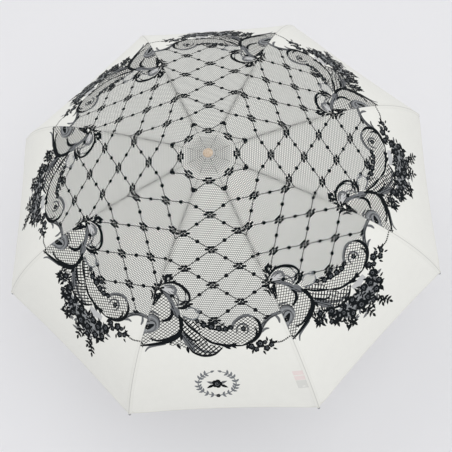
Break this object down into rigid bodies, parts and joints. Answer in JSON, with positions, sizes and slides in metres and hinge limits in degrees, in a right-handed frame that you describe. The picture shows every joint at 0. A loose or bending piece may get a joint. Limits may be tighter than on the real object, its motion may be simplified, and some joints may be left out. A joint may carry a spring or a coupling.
{
  "type": "folding parasol",
  "caption": "Open folding parasol: domed printed cloth canopy over hinged ribs, with a sliding runner, a telescoping shaft and a short turned grip.",
  "frame": {"origin": "middle of the grip, on the shaft axis", "axes": "+Z along the shaft to the ferrule cap; +X along rib 1; ribs are numbered anticlockwise seen from above"},
  "size_m": [0.8696, 0.8696, 0.5854],
  "materials": {
    "canopy_cloth": "fine plain weave, ivory with a black and grey lace print, matt",
    "label_tape": "satin care tape",
    "rib_steel": "dark lacquered steel, semi-gloss",
    "tip_metal": "plated, light wear",
    "shaft_metal": "drawn and anodised",
    "hub_plastic": "moulded ivory",
    "cap_wood": "turned, clear satin lacquer",
    "handle_wood": "turned, clear satin lacquer"
  },
  "bodies": {
    "lower_shaft": {"handle": "handle_wood", "handle_end_cap": "tip_metal", "lower_tube": "shaft_metal"},
    "upper_shaft": {"upper_tube": "shaft_metal", "crown": "hub_plastic", "ferrule_cap": "cap_wood", "top_washer": "canopy_cloth"},
    "runner": {"runner": "hub_plastic"},
    "runner_button": {"runner_button": "shaft_metal"},
    "inner_rib_1": {"inner_rib_1": "rib_steel", "canopy_panel_1": "canopy_cloth"},
    "outer_rib_1": {"outer_rib_1": "rib_steel", "rib_tip_1": "tip_metal"},
    "stretcher_1": {"stretcher_1": "rib_steel"},
    "control_link_1": {"control_link_1": "rib_steel"},
    "inner_rib_2": {"inner_rib_2": "rib_steel", "canopy_panel_2": "canopy_cloth"},
    "outer_rib_2": {"outer_rib_2": "rib_steel", "rib_tip_2": "tip_metal"},
    "stretcher_2": {"stretcher_2": "rib_steel"},
    "control_link_2": {"control_link_2": "rib_steel"},
    "inner_rib_3": {"inner_rib_3": "rib_steel", "canopy_panel_3": "canopy_cloth"},
    "outer_rib_3": {"outer_rib_3": "rib_steel", "rib_tip_3": "tip_metal"},
    "stretcher_3": {"stretcher_3": "rib_steel"},
    "control_link_3": {"control_link_3": "rib_steel"},
    "inner_rib_4": {"inner_rib_4": "rib_steel", "canopy_panel_4": "canopy_cloth"},
    "outer_rib_4": {"outer_rib_4": "rib_steel", "rib_tip_4": "tip_metal"},
    "stretcher_4": {"stretcher_4": "rib_steel"},
    "control_link_4": {"control_link_4": "rib_steel"},
    "inner_rib_5": {"inner_rib_5": "rib_steel", "canopy_panel_5": "canopy_cloth"},
    "outer_rib_5": {"outer_rib_5": "rib_steel", "rib_tip_5": "tip_metal", "tie_strap": "canopy_cloth", "tie_snap": "tip_metal"},
    "stretcher_5": {"stretcher_5": "rib_steel"},
    "control_link_5": {"control_link_5": "rib_steel"},
    "inner_rib_6": {"inner_rib_6": "rib_steel", "canopy_panel_6": "canopy_cloth"},
    "outer_rib_6": {"outer_rib_6": "rib_steel", "rib_tip_6": "tip_metal"},
    "stretcher_6": {"stretcher_6": "rib_steel"},
    "control_link_6": {"control_link_6": "rib_steel"},
    "inner_rib_7": {"inner_rib_7": "rib_steel", "canopy_panel_7": "canopy_cloth"},
    "outer_rib_7": {"outer_rib_7": "rib_steel", "rib_tip_7": "tip_metal", "care_label": "label_tape"},
    "stretcher_7": {"stretcher_7": "rib_steel"},
    "control_link_7": {"control_link_7": "rib_steel"},
    "inner_rib_8": {"inner_rib_8": "rib_steel", "canopy_panel_8": "canopy_cloth"},
    "outer_rib_8": {"outer_rib_8": "rib_steel", "rib_tip_8": "tip_metal"},
    "stretcher_8": {"stretcher_8": "rib_steel"},
    "control_link_8": {"control_link_8": "rib_steel"}
  },
  "joints": [
    {"name": "shaft_slide", "type": "slide", "parent": "lower_shaft", "child": "upper_shaft", "axis": [0, 0, -1], "range_m": [0, 0.234]},
    {"name": "runner_slide", "type": "slide", "parent": "upper_shaft", "child": "runner", "axis": [0, 0, -1], "range_m": [0, 0.15341]},
    {"name": "runner_button_press", "type": "slide", "parent": "runner", "child": "runner_button", "axis": [-0.9239, -0.3827, 0], "range_m": [0, 0.002], "stiffness_N_per_m": 500},
    {"name": "rib_hinge_1", "type": "hinge", "parent": "upper_shaft", "child": "inner_rib_1", "pos_m": [0.011, 0, 0.53789], "axis": [0, 1, 0], "range_deg": [0, 76.2], "deforming": ["canopy_panel_1"]},
    {"name": "knee_hinge_1", "type": "hinge", "parent": "inner_rib_1", "child": "outer_rib_1", "pos_m": [0.25426, 0, 0.48438], "axis": [0, 1, 0], "range_deg": [-190, 0]},
    {"name": "stretcher_hinge_1", "type": "hinge", "parent": "runner", "child": "stretcher_1", "pos_m": [0.011, 0, 0.458], "axis": [0, 1, 0], "range_deg": [-57.17, 0]},
    {"name": "link_hinge_1", "type": "hinge", "parent": "outer_rib_1", "child": "control_link_1", "pos_m": [0.24233, 0, 0.48315], "axis": [0, 1, 0], "range_deg": [0, 186.5]},
    {"name": "rib_hinge_2", "type": "hinge", "parent": "upper_shaft", "child": "inner_rib_2", "pos_m": [0.00778, 0.00778, 0.53789], "axis": [-0.7071, 0.7071, 0], "range_deg": [0, 76.2], "deforming": ["canopy_panel_2"]},
    {"name": "knee_hinge_2", "type": "hinge", "parent": "inner_rib_2", "child": "outer_rib_2", "pos_m": [0.17979, 0.17979, 0.48438], "axis": [-0.7071, 0.7071, 0], "range_deg": [-190, 0]},
    {"name": "stretcher_hinge_2", "type": "hinge", "parent": "runner", "child": "stretcher_2", "pos_m": [0.00778, 0.00778, 0.458], "axis": [-0.7071, 0.7071, 0], "range_deg": [-57.17, 0]},
    {"name": "link_hinge_2", "type": "hinge", "parent": "outer_rib_2", "child": "control_link_2", "pos_m": [0.17135, 0.17135, 0.48315], "axis": [-0.7071, 0.7071, 0], "range_deg": [0, 186.5]},
    {"name": "rib_hinge_3", "type": "hinge", "parent": "upper_shaft", "child": "inner_rib_3", "pos_m": [0, 0.011, 0.53789], "axis": [-1, 0, 0], "range_deg": [0, 76.2], "deforming": ["canopy_panel_3"]},
    {"name": "knee_hinge_3", "type": "hinge", "parent": "inner_rib_3", "child": "outer_rib_3", "pos_m": [0, 0.25426, 0.48438], "axis": [-1, 0, 0], "range_deg": [-190, 0]},
    {"name": "stretcher_hinge_3", "type": "hinge", "parent": "runner", "child": "stretcher_3", "pos_m": [0, 0.011, 0.458], "axis": [-1, 0, 0], "range_deg": [-57.17, 0]},
    {"name": "link_hinge_3", "type": "hinge", "parent": "outer_rib_3", "child": "control_link_3", "pos_m": [0, 0.24233, 0.48315], "axis": [-1, 0, 0], "range_deg": [0, 186.5]},
    {"name": "rib_hinge_4", "type": "hinge", "parent": "upper_shaft", "child": "inner_rib_4", "pos_m": [-0.00778, 0.00778, 0.53789], "axis": [-0.7071, -0.7071, 0], "range_deg": [0, 76.2], "deforming": ["canopy_panel_4"]},
    {"name": "knee_hinge_4", "type": "hinge", "parent": "inner_rib_4", "child": "outer_rib_4", "pos_m": [-0.17979, 0.17979, 0.48438], "axis": [-0.7071, -0.7071, 0], "range_deg": [-190, 0]},
    {"name": "stretcher_hinge_4", "type": "hinge", "parent": "runner", "child": "stretcher_4", "pos_m": [-0.00778, 0.00778, 0.458], "axis": [-0.7071, -0.7071, 0], "range_deg": [-57.17, 0]},
    {"name": "link_hinge_4", "type": "hinge", "parent": "outer_rib_4", "child": "control_link_4", "pos_m": [-0.17135, 0.17135, 0.48315], "axis": [-0.7071, -0.7071, 0], "range_deg": [0, 186.5]},
    {"name": "rib_hinge_5", "type": "hinge", "parent": "upper_shaft", "child": "inner_rib_5", "pos_m": [-0.011, 0, 0.53789], "axis": [0, -1, 0], "range_deg": [0, 76.2], "deforming": ["canopy_panel_5"]},
    {"name": "knee_hinge_5", "type": "hinge", "parent": "inner_rib_5", "child": "outer_rib_5", "pos_m": [-0.25426, 0, 0.48438], "axis": [0, -1, 0], "range_deg": [-190, 0]},
    {"name": "stretcher_hinge_5", "type": "hinge", "parent": "runner", "child": "stretcher_5", "pos_m": [-0.011, 0, 0.458], "axis": [0, -1, 0], "range_deg": [-57.17, 0]},
    {"name": "link_hinge_5", "type": "hinge", "parent": "outer_rib_5", "child": "control_link_5", "pos_m": [-0.24233, 0, 0.48315], "axis": [0, -1, 0], "range_deg": [0, 186.5]},
    {"name": "rib_hinge_6", "type": "hinge", "parent": "upper_shaft", "child": "inner_rib_6", "pos_m": [-0.00778, -0.00778, 0.53789], "axis": [0.7071, -0.7071, 0], "range_deg": [0, 76.2], "deforming": ["canopy_panel_6"]},
    {"name": "knee_hinge_6", "type": "hinge", "parent": "inner_rib_6", "child": "outer_rib_6", "pos_m": [-0.17979, -0.17979, 0.48438], "axis": [0.7071, -0.7071, 0], "range_deg": [-190, 0]},
    {"name": "stretcher_hinge_6", "type": "hinge", "parent": "runner", "child": "stretcher_6", "pos_m": [-0.00778, -0.00778, 0.458], "axis": [0.7071, -0.7071, 0], "range_deg": [-57.17, 0]},
    {"name": "link_hinge_6", "type": "hinge", "parent": "outer_rib_6", "child": "control_link_6", "pos_m": [-0.17135, -0.17135, 0.48315], "axis": [0.7071, -0.7071, 0], "range_deg": [0, 186.5]},
    {"name": "rib_hinge_7", "type": "hinge", "parent": "upper_shaft", "child": "inner_rib_7", "pos_m": [0, -0.011, 0.53789], "axis": [1, 0, 0], "range_deg": [0, 76.2], "deforming": ["canopy_panel_7"]},
    {"name": "knee_hinge_7", "type": "hinge", "parent": "inner_rib_7", "child": "outer_rib_7", "pos_m": [0, -0.25426, 0.48438], "axis": [1, 0, 0], "range_deg": [-190, 0]},
    {"name": "stretcher_hinge_7", "type": "hinge", "parent": "runner", "child": "stretcher_7", "pos_m": [0, -0.011, 0.458], "axis": [1, 0, 0], "range_deg": [-57.17, 0]},
    {"name": "link_hinge_7", "type": "hinge", "parent": "outer_rib_7", "child": "control_link_7", "pos_m": [0, -0.24233, 0.48315], "axis": [1, 0, 0], "range_deg": [0, 186.5]},
    {"name": "rib_hinge_8", "type": "hinge", "parent": "upper_shaft", "child": "inner_rib_8", "pos_m": [0.00778, -0.00778, 0.53789], "axis": [0.7071, 0.7071, 0], "range_deg": [0, 76.2], "deforming": ["canopy_panel_8"]},
    {"name": "knee_hinge_8", "type": "hinge", "parent": "inner_rib_8", "child": "outer_rib_8", "pos_m": [0.17979, -0.17979, 0.48438], "axis": [0.7071, 0.7071, 0], "range_deg": [-190, 0]},
    {"name": "stretcher_hinge_8", "type": "hinge", "parent": "runner", "child": "stretcher_8", "pos_m": [0.00778, -0.00778, 0.458], "axis": [0.7071, 0.7071, 0], "range_deg": [-57.17, 0]},
    {"name": "link_hinge_8", "type": "hinge", "parent": "outer_rib_8", "child": "control_link_8", "pos_m": [0.17135, -0.17135, 0.48315], "axis": [0.7071, 0.7071, 0], "range_deg": [0, 186.5]}
  ],
  "couplings": [
    {"joint": "rib_hinge_1", "follows": "runner_slide", "rad_per_m": 8.6692},
    {"joint": "knee_hinge_1", "follows": "runner_slide", "rad_per_m": -21.616},
    {"joint": "stretcher_hinge_1", "follows": "runner_slide", "rad_per_m": -6.5042},
    {"joint": "link_hinge_1", "follows": "runner_slide", "rad_per_m": 21.217},
    {"joint": "rib_hinge_2", "follows": "runner_slide", "rad_per_m": 8.6692},
    {"joint": "knee_hinge_2", "follows": "runner_slide", "rad_per_m": -21.616},
    {"joint": "stretcher_hinge_2", "follows": "runner_slide", "rad_per_m": -6.5042},
    {"joint": "link_hinge_2", "follows": "runner_slide", "rad_per_m": 21.217},
    {"joint": "rib_hinge_3", "follows": "runner_slide", "rad_per_m": 8.6692},
    {"joint": "knee_hinge_3", "follows": "runner_slide", "rad_per_m": -21.616},
    {"joint": "stretcher_hinge_3", "follows": "runner_slide", "rad_per_m": -6.5042},
    {"joint": "link_hinge_3", "follows": "runner_slide", "rad_per_m": 21.217},
    {"joint": "rib_hinge_4", "follows": "runner_slide", "rad_per_m": 8.6692},
    {"joint": "knee_hinge_4", "follows": "runner_slide", "rad_per_m": -21.616},
    {"joint": "stretcher_hinge_4", "follows": "runner_slide", "rad_per_m": -6.5042},
    {"joint": "link_hinge_4", "follows": "runner_slide", "rad_per_m": 21.217},
    {"joint": "rib_hinge_5", "follows": "runner_slide", "rad_per_m": 8.6692},
    {"joint": "knee_hinge_5", "follows": "runner_slide", "rad_per_m": -21.616},
    {"joint": "stretcher_hinge_5", "follows": "runner_slide", "rad_per_m": -6.5042},
    {"joint": "link_hinge_5", "follows": "runner_slide", "rad_per_m": 21.217},
    {"joint": "rib_hinge_6", "follows": "runner_slide", "rad_per_m": 8.6692},
    {"joint": "knee_hinge_6", "follows": "runner_slide", "rad_per_m": -21.616},
    {"joint": "stretcher_hinge_6", "follows": "runner_slide", "rad_per_m": -6.5042},
    {"joint": "link_hinge_6", "follows": "runner_slide", "rad_per_m": 21.217},
    {"joint": "rib_hinge_7", "follows": "runner_slide", "rad_per_m": 8.6692},
    {"joint": "knee_hinge_7", "follows": "runner_slide", "rad_per_m": -21.616},
    {"joint": "stretcher_hinge_7", "follows": "runner_slide", "rad_per_m": -6.5042},
    {"joint": "link_hinge_7", "follows": "runner_slide", "rad_per_m": 21.217},
    {"joint": "rib_hinge_8", "follows": "runner_slide", "rad_per_m": 8.6692},
    {"joint": "knee_hinge_8", "follows": "runner_slide", "rad_per_m": -21.616},
    {"joint": "stretcher_hinge_8", "follows": "runner_slide", "rad_per_m": -6.5042},
    {"joint": "link_hinge_8", "follows": "runner_slide", "rad_per_m": 21.217}
  ]
}
